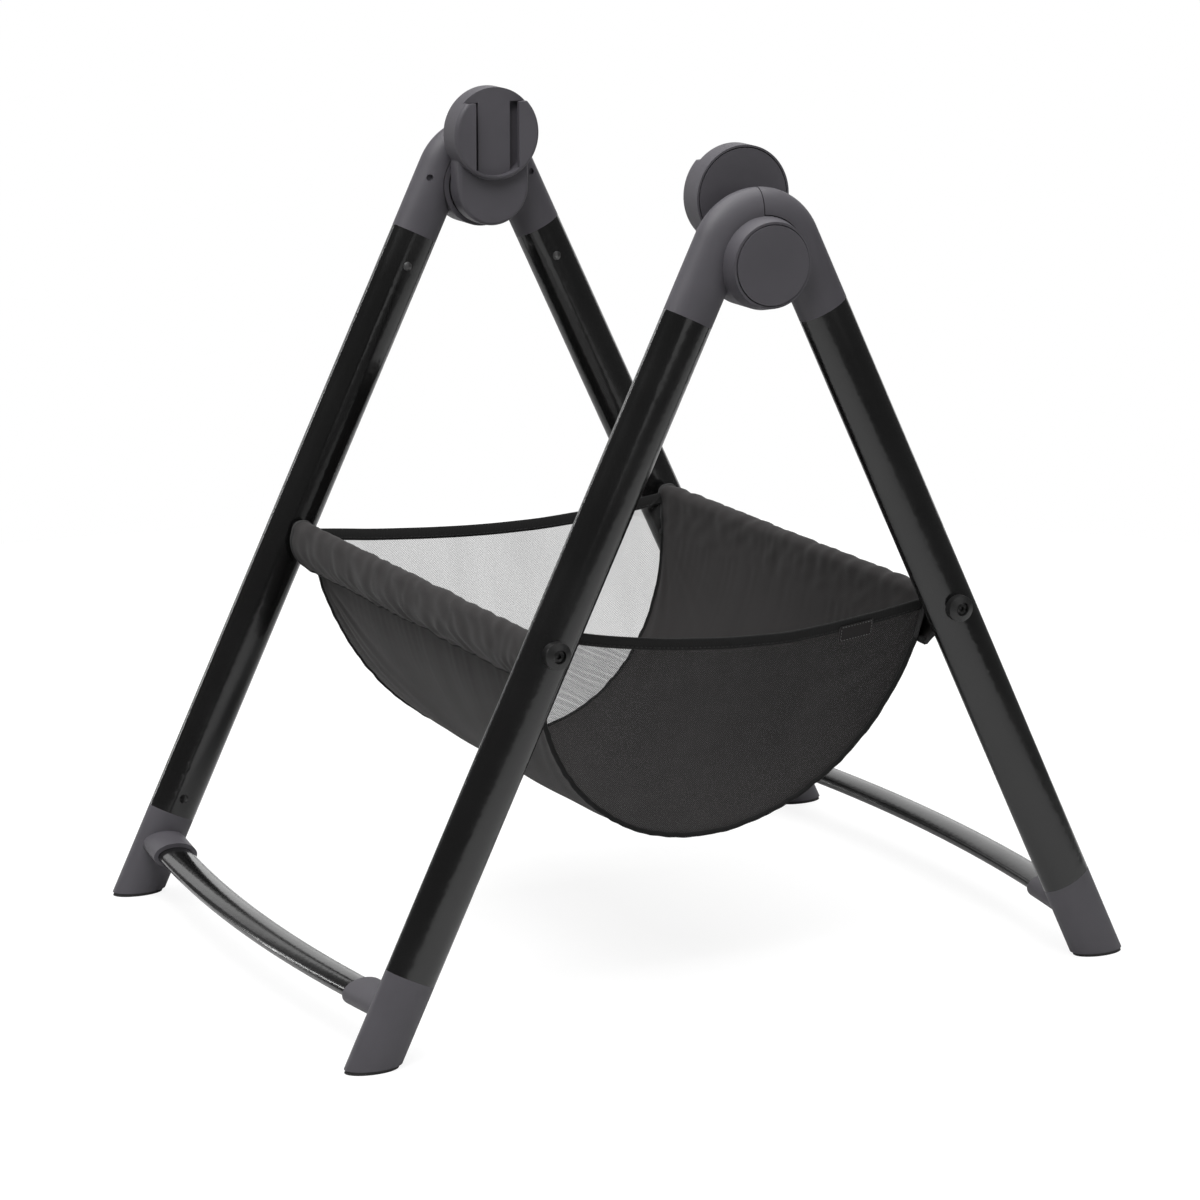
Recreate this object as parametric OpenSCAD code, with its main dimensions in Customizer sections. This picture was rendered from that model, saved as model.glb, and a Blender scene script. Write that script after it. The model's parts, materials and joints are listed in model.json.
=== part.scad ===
// Folding bassinet stand: two A-frames on lockable hubs, a slung storage basket between them.
// Origin on the floor under the middle of the stand. +X along the hub axis, +Y to the rear, +Z up.

/* [Stand] */
// Distance between the middle planes of the two A-frames
frame_spacing = 526; // [420:2:640]
// Height of the hub axis above the floor
hub_height = 617; // [480:1:760]
// Distance from the middle of the stand to where a leg's axis meets the floor
foot_reach = 337; // [260:1:420]

/* [Leg tubes] */
// Width of the oval leg tube, seen from the side of the stand
leg_w = 44; // [36:1:54]
// Thickness of the oval leg tube along the hub axis
leg_t = 28; // [24:1:34]
// Wall of the leg tube
leg_wall = 2; // [1.2:0.1:3]

/* [Hubs] */
// Outer radius of the arch over the hub
hub_r = 58.5; // [54:0.5:70]
// Length of the straight socket below the arch
socket_len = 64; // [45:1:90]
// How far the housings' and feet's spigots reach into the tubes
spigot_len = 40; // [25:1:60]
// Clearance around the spigots
spigot_gap = 0.2; // [0.1:0.05:0.4]
// Radius of the two barrels that turn on each other
barrel_r = 37; // [34:0.5:40]
// Radius of the collar's outer end, around the button
collar_r = 34.3; // [33:0.1:36]
// How far the collar stands out from the leg's side
collar_h = 14; // [11:0.5:20]
// Gap that shows between the front and the rear housing
hub_gap = 0.9; // [0.5:0.1:1.5]
// Clearance between the two barrels' faces
barrel_gap = 0.3; // [0.2:0.05:0.6]
// How far the barrels' flat faces stand out from the arches
barrel_proud = 0.8; // [0.4:0.1:1.5]

/* [Lock] */
// Radius of the button
button_r = 31.6; // [29:0.1:32]
// Gap around the button
button_gap = 0.7; // [0.4:0.1:1]
// How far the button travels inwards
button_travel = 4; // [3:0.5:5]
// How far the button stands out of its collar
button_proud = 1; // [0.5:0.5:3]
// Radius of the lock gear's body
gear_r = 17; // [15:0.5:19]
// How far the gear's lugs reach beyond its body
lug_h = 5; // [4:0.5:7]
// Width of each lug
lug_w = 7; // [5:0.5:9]
// Number of lugs on the gear
lug_count = 3; // [2:1:3]
// Running clearance around the gear
gear_gap = 0.4; // [0.3:0.05:0.8]
// Largest fold of the rear frame, in degrees
fold_angle = 50; // [30:1:51]

/* [Pivot] */
// Radius of the pivot bolt's shank
pivot_r = 5; // [4:0.5:6]
// Running clearance of the pivot bolt in the front barrel
pivot_gap = 0.05; // [0.02:0.01:0.1]
// Radius of the bolt's head
pivot_head_r = 10; // [8:0.5:12]
// Thickness of the bolt's head
pivot_head_h = 3.5; // [2.5:0.5:5]
// Thickness of the bright thrust washer
washer_t = 1.6; // [1:0.2:3]

/* [Bassinet adapters] */
// Radius of the adapter's upper disc
adapter_r = 41; // [36:0.5:46]
// Height of the upper disc's centre above the hub axis
adapter_rise = 48; // [40:1:60]
// Thickness of the adapter's upper disc
adapter_t = 26; // [22:0.5:32]
// Gap between the adapter's back and the legs
adapter_gap = 8; // [4:0.5:10]
// Radius of the adapter's lower disc
adapter_low_r = 34; // [30:0.5:38]
// How far the lower disc's face is set back from the upper disc's
adapter_step = 8; // [4:0.5:12]
// Width of the channel's mouth between the two cheeks
channel_w = 42; // [34:0.5:48]
// Width of the channel behind the cheeks
channel_undercut_w = 54; // [46:0.5:60]
// Depth of the channel
channel_depth = 14; // [10:0.5:17]
// Thickness of the cheeks that overhang the channel
cheek_t = 4; // [3:0.5:6]
// Width of the raised pad on the channel's floor
channel_pad_w = 31; // [28:0.5:38]
// Height of the raised pad on the channel's floor
channel_pad_h = 6; // [3:0.5:8]
// Distance from the top of the disc down to the cheeks' tops
cheek_drop = 13; // [8:0.5:18]
// Radius of the cover plate on the adapter's back
cover_r = 38.6; // [34:0.1:40]
// Thickness of the cover plate
cover_t = 4; // [2:0.5:6]

/* [Feet and crossbars] */
// Length of the foot along the leg's axis
foot_len = 78; // [60:1:100]
// Thickness of the rubber pad under the foot
pad_t = 3; // [2:0.5:5]
// Height of the crossbar above the floor
bar_z = 46; // [38:1:54]
// Width of the oval crossbar
bar_w = 31; // [24:0.5:34]
// Thickness of the oval crossbar
bar_t = 15; // [12:0.5:18]
// Wall of the crossbar's tube
bar_wall = 1.6; // [1:0.1:2.5]
// How far the crossbar bows outwards in its middle
bar_bow = 18; // [10:1:30]
// How far the crossbar's collar stands out from the foot
bar_collar_len = 40; // [20:1:55]
// Wall of the crossbar's collar
bar_collar_wall = 4; // [3:0.5:6]
// How deep the crossbar sits in its collar
bar_seat = 36; // [12:1:46]

/* [Basket] */
// Height of the basket rods above the floor
rod_z = 321; // [260:1:380]
// Radius of the basket rods
rod_r = 6; // [4.5:0.5:8]
// Wall of the basket rods
rod_wall = 1.5; // [1:0.1:2.5]
// Gap between the basket's ends and the legs
basket_gap = 10; // [6:1:20]
// Depth of the basket below the rods, at its middle
basket_depth = 194; // [120:1:230]
// How far the end panels lean inwards at the bottom of the basket
panel_lean = 60; // [0:1:80]
// How far the end panels' top edges hang below the rods
panel_sag = 13; // [6:1:30]
// Thickness of the sling's cloth
cloth_t = 3; // [2:0.5:5]
// Thickness of the end panels' mesh
mesh_t = 2; // [1:0.5:3]
// Gap between the cloth sleeve and the rod inside it
sleeve_gap = 1.5; // [0.8:0.1:3]
// Width of the woven tag
tag_w = 30; // [20:1:45]

/* [Fasteners] */
// Radius of the domed caps over the rod bolts
cap_r = 11; // [9:0.5:13]
// Height of the domed caps
cap_h = 9; // [6:0.5:12]
// Radius of the rod bolts' shank
rod_bolt_r = 3; // [2.5:0.25:4]
// Radius of the small screws
screw_r = 2; // [1.5:0.25:2.5]
// Radius of the small screws' heads
screw_head_r = 4; // [3:0.25:5]

/* [Hidden] */

round_fn = 96;
small_fn = 48;
eps = 0.01;

plastic_color = [0.27, 0.27, 0.29];
tube_color = [0.07, 0.07, 0.08];
rubber_color = [0.12, 0.12, 0.12];
steel_color = [0.75, 0.75, 0.77];
dark_steel_color = [0.3, 0.3, 0.32];
cloth_color = [0.18, 0.18, 0.19];
mesh_color = [0.35, 0.35, 0.36];

left = -1;
right = 1;
front = -1;
rear = 1;

plane_x = frame_spacing / 2;
side_x = plane_x + leg_t / 2;
inner_x = plane_x - leg_t / 2;
outer_face_x = side_x + barrel_proud;
inner_face_x = inner_x - barrel_proud;
arch_r = hub_r - leg_w / 2;
leg_angle = atan2(foot_reach, hub_height) - asin(arch_r / norm([foot_reach, hub_height]));
leg_axis_len = (hub_height + arch_r * sin(leg_angle)) / cos(leg_angle);
leg_len = leg_axis_len - socket_len - foot_len;

// Distance from the middle of the stand to a leg's axis at a height
function leg_y(z) = foot_reach - z * tan(leg_angle);

button_face_x = side_x + collar_h + button_proud;
button_floor_x = side_x + 1;
button_rest_gap = 0.5;
button_back_x = button_floor_x + button_travel + button_rest_gap;
button_skin = 3;
button_leg_r = 2.5;
button_leg_root = 1;
button_leg_place = gear_r - 4;
gear_t = 2 * button_travel;
gear_inner_x = plane_x - button_travel - barrel_gap;
gear_outer_x = gear_inner_x + gear_t;
pocket_inner_x = gear_inner_x - button_travel - button_rest_gap;
pocket_outer_x = gear_outer_x + gear_gap;
gear_bore_r = pivot_r + 0.5;
spring_r = 9;
spring_wire_r = 0.9;
spring_turns = 4;
spring_steps = 16;
spring_sides = 6;
spring_end_gap = 0.1;
spring_recess = 5;
pivot_nut_h = 4.5;

adapter_back_x = inner_x - adapter_gap;
adapter_face_x = adapter_back_x - adapter_t;
adapter_low_face_x = adapter_face_x + adapter_step;
adapter_z = hub_height + adapter_rise;
adapter_round = 3.5;
adapter_lip = 4;
adapter_screw_place = 13;
adapter_screw_len = 16;
boss_r = adapter_low_r - 2;
washer_bore_r = 20;
cover_gap = 0.8;
pivot_head_x = adapter_back_x - pivot_head_h - 4;

bar_y = leg_y(bar_z);
bar_bend_r = (inner_x * inner_x + bar_bow * bar_bow) / (2 * bar_bow);
bar_axis_y = bar_y + bar_bow - bar_bend_r;
bar_mouth_x = inner_x - bar_collar_len;
bar_end_x = bar_mouth_x + bar_seat;
bar_fit = 0.2;
bar_fn = 1440;

rod_y = leg_y(rod_z);
rod_end_len = 24;
rod_bolt_len = 18;
bolt_head_r = rod_bolt_r + 2;
bolt_head_h = 3;

hub_screw_place = socket_len + 30;
foot_screw_place = socket_len + leg_len - 16;
hub_pocket_place = 14;
hub_pocket_out = 12;
hub_pocket_r = 3;
hub_pocket_depth = 7;
screw_len = 9;
screw_head_h = 1.8;

basket_x = inner_x - basket_gap;
sleeve_bore_r = rod_r + sleeve_gap;
sleeve_r = sleeve_bore_r + cloth_t;
sling_y = rod_y - rod_r - sleeve_gap - 0.5;
binding_h = 12;
binding_t = mesh_t + 2;
panel_gap = 0.4;
panel_bend_r = (rod_y * rod_y + panel_sag * panel_sag) / (2 * panel_sag);
panel_bend_z = rod_z - panel_sag + panel_bend_r;
lean_angle = atan(panel_lean / basket_depth);
tag_y = 112;
tag_h = 13;
tag_t = 1.2;

// Oval outline, a wide and b thick
module oval(a, b) {
    scale([a / b, 1]) circle(d = b, $fn = round_fn);
}

// Puts a shape drawn for the right-hand frame on the given side
module on_side(side) {
    mirror([side == left ? 1 : 0, 0, 0]) children();
}

// Puts a shape drawn for the rear half on the given half
module on_half(half) {
    mirror([0, half == front ? 1 : 0, 0]) children();
}

// Solid cylinder along X from x0 to x1 about the hub axis
module hub_disc(x0, x1, r) {
    translate([x0, 0, hub_height]) rotate([0, 90, 0]) cylinder(r = r, h = x1 - x0, $fn = round_fn);
}

// Cylinder along X at a place
module x_rod(x0, x1, y, z, r) {
    translate([x0, y, z]) rotate([0, 90, 0]) cylinder(r = r, h = x1 - x0, $fn = small_fn);
}

// Frame of the rear right hub, tilted so that its leg hangs straight down -Z
module hub_frame() {
    translate([plane_x, 0, hub_height]) rotate([leg_angle, 0, 0]) children();
}

// Frame of the rear right leg: origin where the socket begins, -Z down the leg, X along the hub axis
module on_leg() {
    hub_frame() translate([0, arch_r, 0]) children();
}

// Straight oval bar down the leg, drawn in the leg's own frame
module oval_bar(from, to, w, t) {
    translate([0, 0, -to]) linear_extrude(to - from) rotate(90) oval(w, t);
}

// Straight piece of oval bar along the leg from one distance below the socket's top to another
module leg_bar(from, to, w, t) {
    on_leg() oval_bar(from, to, w, t);
}

module leg(half, side) {
    color(tube_color) on_side(side) on_half(half) difference() {
        leg_bar(socket_len, socket_len + leg_len, leg_w, leg_t);
        leg_bar(socket_len - 1, socket_len + leg_len + 1, leg_w - 2 * leg_wall, leg_t - 2 * leg_wall);
        x_rod(inner_x - 1, side_x + 1, rod_y, rod_z, rod_bolt_r);
        leg_screw_hole(hub_screw_place);
        leg_screw_hole(foot_screw_place);
    }
}

// Hole for a small screw in the inner face of the leg, at a distance below the socket's top
module leg_screw_hole(place) {
    on_leg() translate([-leg_t / 2 - 1, 0, -place]) rotate([0, 90, 0])
        cylinder(r = screw_r, h = screw_len + 1, $fn = small_fn);
}

// Part of a spigot inside the leg tube, drawn in the leg's own frame
module spigot(from, to) {
    oval_bar(from, to, leg_w - 2 * (leg_wall + spigot_gap), leg_t - 2 * (leg_wall + spigot_gap));
}

// Arch over the hub, socket and the spigot that enters the leg tube
module hub_arm() {
    hub_frame() {
        rotate([90, 0, 90]) rotate_extrude(angle = 90 - leg_angle, $fn = round_fn)
            translate([arch_r, 0]) oval(leg_w, leg_t);
        translate([0, arch_r, 0]) oval_bar(0, socket_len, leg_w, leg_t);
        translate([0, arch_r, 0]) spigot(socket_len - 1, socket_len + spigot_len);
    }
}

// Arm of one half with its seam, screw holes and the other half's barrel taken out
module cut_arm(cut_from, cut_to) {
    difference() {
        hub_arm();
        translate([inner_x - 5, -hub_r, hub_height]) cube([leg_t + 10, hub_r + hub_gap / 2, hub_r + 5]);
        hub_disc(cut_from, cut_to, barrel_r + hub_gap);
        leg_screw_hole(hub_screw_place);
        on_leg() translate([-leg_t / 2 - 1, hub_pocket_out, -hub_pocket_place]) rotate([0, 90, 0])
            cylinder(r = hub_pocket_r, h = hub_pocket_depth, $fn = small_fn);
    }
}

// Pocket that the gear and its lugs slide in, the lugs' part swept through an angle
module gear_pocket(x0, x1, sweep) {
    half_angle = asin((lug_w / 2 + gear_gap) / gear_r);
    hub_disc(x0, x1, gear_r + gear_gap);
    for (i = [0 : lug_count - 1])
        translate([x0, 0, hub_height]) rotate([0, 90, 0]) rotate([0, 0, i * 360 / lug_count - half_angle])
            rotate_extrude(angle = sweep + 2 * half_angle, $fn = round_fn)
                square([gear_r + lug_h + gear_gap, x1 - x0]);
}

// Rods along X from x0 to x1, one in line with each lug of the gear
module lug_rods(x0, x1, place, r) {
    for (i = [0 : lug_count - 1])
        translate([x0, 0, hub_height]) rotate([i * 360 / lug_count, 0, 0]) translate([0, 0, -place])
            rotate([0, 90, 0]) cylinder(r = r, h = x1 - x0, $fn = small_fn);
}

// Front housing: the outer barrel, the collar and the button's well
module front_hub(side) {
    color(plastic_color) on_side(side) difference() {
        union() {
            on_half(front) cut_arm(inner_x - 1, plane_x + barrel_gap / 2);
            hub_disc(plane_x + barrel_gap / 2, outer_face_x, barrel_r);
            translate([outer_face_x, 0, hub_height]) rotate([0, 90, 0])
                cylinder(r1 = barrel_r, r2 = collar_r, h = side_x + collar_h - outer_face_x, $fn = round_fn);
        }
        hub_disc(button_floor_x, side_x + collar_h + 1, button_r + button_gap);
        gear_pocket(plane_x, pocket_outer_x, 0);
        hub_disc(plane_x, button_floor_x + 1, pivot_r + pivot_gap);
        lug_rods(plane_x, button_floor_x + 1, button_leg_place, button_leg_r + gear_gap);
    }
}

// Rear housing: the inner barrel, whose lug pockets are swept through the whole fold
module rear_hub(side) {
    color(plastic_color) on_side(side) difference() {
        union() {
            cut_arm(plane_x - barrel_gap / 2, side_x + 1);
            hub_disc(inner_face_x, plane_x - barrel_gap / 2, barrel_r);
        }
        gear_pocket(pocket_inner_x, plane_x + 1, fold_angle);
        hub_disc(inner_face_x - 1, plane_x, pivot_r);
        adapter_screw_shapes();
    }
}

module lock_gear(side) {
    color(dark_steel_color) on_side(side) difference() {
        union() {
            hub_disc(gear_inner_x, gear_outer_x, gear_r);
            for (i = [0 : lug_count - 1])
                translate([gear_inner_x, 0, hub_height]) rotate([i * 360 / lug_count, 0, 0])
                    translate([0, -lug_w / 2, -(gear_r + lug_h)]) cube([gear_t, lug_w, lug_h + 2]);
        }
        hub_disc(gear_inner_x - 1, gear_outer_x + 1, gear_bore_r);
        difference() {
            hub_disc(gear_inner_x - 1, gear_inner_x + spring_recess, spring_r + spring_wire_r + 0.6);
            hub_disc(gear_inner_x - 2, gear_outer_x, spring_r - spring_wire_r - 0.6);
        }
    }
}

// Ring of points around a coil's wire at a step along it
function wire_ring(step, rise) = [
    for (i = [0 : spring_sides - 1])
        let (turn = step * 360 / spring_steps, a = i * 360 / spring_sides)
        let (reach = spring_r + spring_wire_r * cos(a))
        [reach * cos(turn), reach * sin(turn), rise * step + spring_wire_r * sin(a)]
];

module lock_spring(side) {
    start_x = pocket_inner_x + spring_wire_r + spring_end_gap;
    end_x = gear_inner_x + spring_recess - spring_wire_r - spring_end_gap;
    steps = spring_turns * spring_steps;
    rise = (end_x - start_x) / steps;
    points = [for (step = [0 : steps]) each wire_ring(step, rise)];
    walls = [
        for (step = [0 : steps - 1], i = [0 : spring_sides - 1])
            let (a = step * spring_sides, b = a + spring_sides, j = (i + 1) % spring_sides)
            [a + i, b + i, b + j, a + j]
    ];
    first = [for (i = [0 : spring_sides - 1]) i];
    last = [for (i = [spring_sides - 1 : -1 : 0]) steps * spring_sides + i];
    color(steel_color) on_side(side) translate([start_x, 0, hub_height]) rotate([0, 90, 0])
        polyhedron(points, concat(walls, [first, last]), convexity = 10);
}

// Button: a cup whose legs pass through the barrel to the gear
module button(side) {
    color(plastic_color) on_side(side) {
        difference() {
            hub_disc(button_back_x, button_face_x, button_r);
            hub_disc(button_back_x - 1, button_face_x - button_skin, button_r - 2.5);
        }
        lug_rods(gear_outer_x, button_face_x - button_skin + button_leg_root, button_leg_place, button_leg_r);
    }
}

module pivot_bolt(side) {
    color(steel_color) on_side(side) {
        hub_disc(pivot_head_x, pivot_head_x + pivot_head_h, pivot_head_r);
        hub_disc(pivot_head_x, button_floor_x + pivot_nut_h, pivot_r);
    }
}

module pivot_nut(side) {
    color(steel_color) on_side(side) difference() {
        translate([button_floor_x, 0, hub_height]) rotate([0, 90, 0])
            cylinder(r = pivot_r * 1.8, h = pivot_nut_h, $fn = 6);
        hub_disc(button_floor_x - 1, button_floor_x + pivot_nut_h + 1, pivot_r);
    }
}

module thrust_washer(side) {
    color(steel_color) on_side(side) difference() {
        hub_disc(inner_face_x - washer_t, inner_face_x, adapter_low_r - 1);
        hub_disc(inner_face_x - washer_t - 1, inner_face_x + 1, washer_bore_r);
    }
}

// Disc along X with its face's edge rounded, its face at x0
module soft_disc(x0, x1, z, r, round_r) {
    translate([x0, 0, z]) rotate([0, 90, 0]) rotate_extrude($fn = round_fn) {
        translate([0, round_r]) square([r, x1 - x0 - round_r]);
        square([r - round_r, x1 - x0]);
        intersection() {
            translate([r - round_r, round_r]) circle(r = round_r, $fn = small_fn);
            translate([r - round_r, 0]) square(round_r);
        }
    }
}

// Outline of the adapter's channel, seen along X: straight sides, a round bottom, open at the top
module channel_shape(w) {
    intersection() {
        circle(r = adapter_r - adapter_lip, $fn = round_fn);
        translate([-w / 2, -adapter_r]) square([w, 2 * adapter_r]);
    }
    translate([-w / 2, 0]) square([w, adapter_r + 1]);
}

// Outline of the part of the upper disc above the cheeks
module above_cheeks() {
    translate([-adapter_r - 1, adapter_r - cheek_drop]) square([2 * adapter_r + 2, cheek_drop + 2]);
}

// Extrudes an outline in the adapter's own plane between two depths behind its face
module adapter_cut(from, to) {
    translate([adapter_face_x + from, 0, adapter_z]) rotate([90, 0, 90]) linear_extrude(to - from) children();
}

// Straight-sided neck from the adapter's lower disc up into its upper one, its face's edges rounded
module adapter_neck() {
    deep = adapter_back_x - adapter_low_face_x;
    flat_r = adapter_low_r - adapter_round;
    translate([adapter_low_face_x, 0, hub_height]) linear_extrude(adapter_rise) {
        translate([adapter_round, -adapter_low_r]) square([deep - adapter_round, 2 * adapter_low_r]);
        translate([0, -flat_r]) square([deep, 2 * flat_r]);
        for (s = [-1, 1]) translate([adapter_round, s * flat_r]) circle(r = adapter_round, $fn = small_fn);
    }
}

// Bassinet adapter: a disc with an undercut channel open at the top, on a lower disc at the hub
module adapter(side) {
    color(plastic_color) on_side(side) difference() {
        union() {
            soft_disc(adapter_face_x, adapter_back_x, adapter_z, adapter_r, adapter_round);
            soft_disc(adapter_low_face_x, adapter_back_x, hub_height, adapter_low_r, adapter_round);
            adapter_neck();
            hub_disc(adapter_back_x - 1, inner_face_x - washer_t, boss_r);
            hub_disc(adapter_back_x - 1, inner_face_x, washer_bore_r);
        }
        adapter_cut(-1, cheek_t) channel_shape(channel_w);
        difference() {
            adapter_cut(cheek_t - eps, channel_depth) difference() {
                channel_shape(channel_undercut_w);
                above_cheeks();
            }
            adapter_cut(channel_depth - channel_pad_h, channel_depth + 1)
                translate([-channel_pad_w / 2, -2 * adapter_r]) square([channel_pad_w, 4 * adapter_r]);
        }
        adapter_cut(-1, channel_depth - channel_pad_h) above_cheeks();
        translate([adapter_back_x - cover_t, 0, adapter_z]) rotate([0, 90, 0])
            cylinder(r = cover_r + cover_gap, h = cover_t + 1, $fn = round_fn);
        hub_disc(pivot_head_x, pivot_head_x + pivot_head_h, pivot_head_r);
        hub_disc(pivot_head_x, inner_x + 1, pivot_r);
        adapter_screw_shapes();
    }
}

module adapter_cover(side) {
    color(plastic_color) on_side(side)
        translate([adapter_back_x - cover_t, 0, adapter_z]) rotate([0, 90, 0])
            cylinder(r = cover_r, h = cover_t, $fn = round_fn);
}

// Countersunk screws from the gear's pocket into the adapter, as shapes for the pieces and their holes
module adapter_screw_shapes() {
    for (i = [0 : 2])
        translate([pocket_inner_x, 0, hub_height]) rotate([i * 120, 0, 0])
            translate([0, 0, -adapter_screw_place]) rotate([0, -90, 0]) {
                cylinder(r = screw_r, h = adapter_screw_len, $fn = small_fn);
                cylinder(r1 = screw_r + 1.5, r2 = screw_r, h = 2, $fn = small_fn);
            }
}

module adapter_screws(side) {
    color(steel_color) on_side(side) adapter_screw_shapes();
}

// Length of oval bar along the crossbar's bend, between two distances from the middle
module bent_bar(from, to, w, t) {
    start = asin(from / bar_bend_r);
    turn = asin(to / bar_bend_r) - start;
    translate([0, bar_axis_y, bar_z]) rotate([0, 0, 90 - start - turn])
        rotate_extrude(angle = turn, $fn = bar_fn) translate([bar_bend_r, 0]) oval(w, t);
}

// Foot: sleeve at the end of the leg, with the crossbar's collar on its inner side
module foot(half, side) {
    color(plastic_color) on_side(side) on_half(half) difference() {
        union() {
            leg_bar(socket_len + leg_len, leg_axis_len + leg_w, leg_w, leg_t);
            on_leg() spigot(socket_len + leg_len - spigot_len, socket_len + leg_len + 1);
            bent_bar(bar_mouth_x, plane_x, bar_w + 2 * bar_collar_wall, bar_t + 2 * bar_collar_wall);
        }
        below_floor(pad_t);
        bent_bar(bar_mouth_x - 1, bar_end_x + bar_fit, bar_w + 2 * bar_fit, bar_t + 2 * bar_fit);
        leg_screw_hole(foot_screw_place);
    }
}

// Block that takes away what lies under a height
module below_floor(z) {
    translate([plane_x - leg_t, foot_reach - 2 * leg_w, z - 2 * leg_w])
        cube([2 * leg_t, 4 * leg_w, 2 * leg_w]);
}

module pad(half, side) {
    color(rubber_color) on_side(side) on_half(half) difference() {
        leg_bar(leg_axis_len - leg_w, leg_axis_len + leg_w, leg_w - 3, leg_t - 3);
        below_floor(0);
        translate([plane_x - leg_t, foot_reach - 2 * leg_w, pad_t]) cube([2 * leg_t, 4 * leg_w, 2 * leg_w]);
    }
}

module crossbar(half) {
    color(tube_color) on_half(half) difference() {
        bent_bar(-bar_end_x, bar_end_x, bar_w, bar_t);
        bent_bar(-bar_end_x - 1, bar_end_x + 1, bar_w - 2 * bar_wall, bar_t - 2 * bar_wall);
    }
}

// Tube with plugged ends that the bolts enter
module basket_rod(half) {
    color(tube_color) on_half(half) difference() {
        x_rod(-inner_x, inner_x, rod_y, rod_z, rod_r);
        x_rod(-inner_x + rod_end_len, inner_x - rod_end_len, rod_y, rod_z, rod_r - rod_wall);
        on_side(left) x_rod(inner_x - rod_bolt_len, inner_x + 1, rod_y, rod_z, rod_bolt_r);
        on_side(right) x_rod(inner_x - rod_bolt_len, inner_x + 1, rod_y, rod_z, rod_bolt_r);
    }
}

// Round head with a domed top, standing along +Z
module dome(r, h, flat_h) {
    rise = h - flat_h;
    dome_r = (r * r + rise * rise) / (2 * rise);
    intersection() {
        cylinder(r = r, h = h, $fn = small_fn);
        translate([0, 0, h - dome_r]) sphere(r = dome_r, $fn = round_fn);
    }
}

// Socket-head bolts through the legs into the rod's ends
module rod_bolts(half) {
    color(steel_color) on_half(half) for (side = [left, right]) on_side(side) difference() {
        union() {
            x_rod(inner_x - rod_bolt_len, side_x + cap_h - bolt_head_h, rod_y, rod_z, rod_bolt_r);
            x_rod(side_x + cap_h - 2 * bolt_head_h, side_x + cap_h - bolt_head_h, rod_y, rod_z, bolt_head_r);
        }
        translate([side_x + cap_h - 2 * bolt_head_h + 1, rod_y, rod_z]) rotate([0, 90, 0])
            cylinder(r = rod_bolt_r * 0.8, h = bolt_head_h, $fn = 6);
    }
}

// Domed caps on the legs' outer faces, with a well for the bolt's head
module rod_caps(half) {
    color(plastic_color) on_half(half) for (side = [left, right]) on_side(side) difference() {
        translate([side_x - 3, rod_y, rod_z]) rotate([0, 90, 0]) dome(cap_r, cap_h + 3, cap_h);
        leg_bar(socket_len, socket_len + leg_len, leg_w, leg_t);
        x_rod(side_x - 4, side_x + cap_h + 1, rod_y, rod_z, rod_bolt_r);
        x_rod(side_x + cap_h - 2 * bolt_head_h, side_x + cap_h + 1, rod_y, rod_z, bolt_head_r + 0.6);
    }
}

// Dome-headed screws in the legs' inner faces, at a distance below the socket's top
module leg_screws(half, place) {
    color(steel_color) on_half(half) for (side = [left, right]) on_side(side)
        on_leg() translate([-leg_t / 2, 0, -place]) rotate([0, 90, 0]) {
            cylinder(r = screw_r, h = screw_len, $fn = small_fn);
            mirror([0, 0, 1]) dome(screw_head_r, screw_head_h, 0.6);
        }
}

// Outline of the sling seen along X, shrunk by a wall
module sling_shape(wall) {
    points = [
        for (a = [0 : 6 : 180])
            [(sling_y - wall) * cos(a), -(basket_depth - wall) * sin(a)]
    ];
    polygon(concat(points, [[-sling_y + wall, 1], [sling_y - wall, 1]]));
}

// Prism along X of an outline in the plane of Y and of Z about the rods
module along_x(half_len) {
    translate([-half_len, 0, rod_z]) rotate([90, 0, 90]) linear_extrude(2 * half_len) children();
}

// Everything beyond an end panel's outer face, moved outwards by a distance
module beyond_panel(side, shift) {
    on_side(side) translate([basket_x + shift, 0, rod_z]) rotate([0, lean_angle, 0])
        translate([0, -rod_y * 2, -basket_depth * 2]) cube([4 * basket_depth, 4 * rod_y, 4 * basket_depth]);
}

// Sling: the sleeves round both rods and the cloth that hangs between them
module basket_sling() {
    color(cloth_color) difference() {
        union() {
            difference() {
                along_x(basket_x) difference() {
                    sling_shape(0);
                    sling_shape(cloth_t);
                    translate([-sling_y, 0]) square([2 * sling_y, 2]);
                }
                beyond_panel(left, 0);
                beyond_panel(right, 0);
            }
            for (half = [front, rear]) on_half(half) x_rod(-basket_x, basket_x, rod_y, rod_z, sleeve_r);
        }
        for (half = [front, rear])
            on_half(half) x_rod(-basket_x - 1, basket_x + 1, rod_y, rod_z, sleeve_bore_r);
    }
}

// Space inside the sling, clear of its cloth and sleeves
module inside_sling(top_drop) {
    difference() {
        along_x(basket_x) sling_shape(cloth_t + panel_gap);
        for (half = [front, rear]) on_half(half)
            x_rod(-basket_x - 1, basket_x + 1, rod_y, rod_z, sleeve_r + panel_gap);
        translate([-basket_x - 1, 0, panel_bend_z]) rotate([0, 90, 0])
            cylinder(r = panel_bend_r + top_drop, h = 2 * basket_x + 2, $fn = 360);
    }
}

module basket_panel(side) {
    color(mesh_color) difference() {
        inside_sling(binding_h);
        beyond_panel(side, -1);
        on_side(side) translate([-mesh_t, 0, 0]) difference() {
            translate([-2 * basket_x, -2 * rod_y, 0]) cube([4 * basket_x, 4 * rod_y, 2 * rod_z]);
            beyond_panel(right, -1);
        }
    }
}

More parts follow.
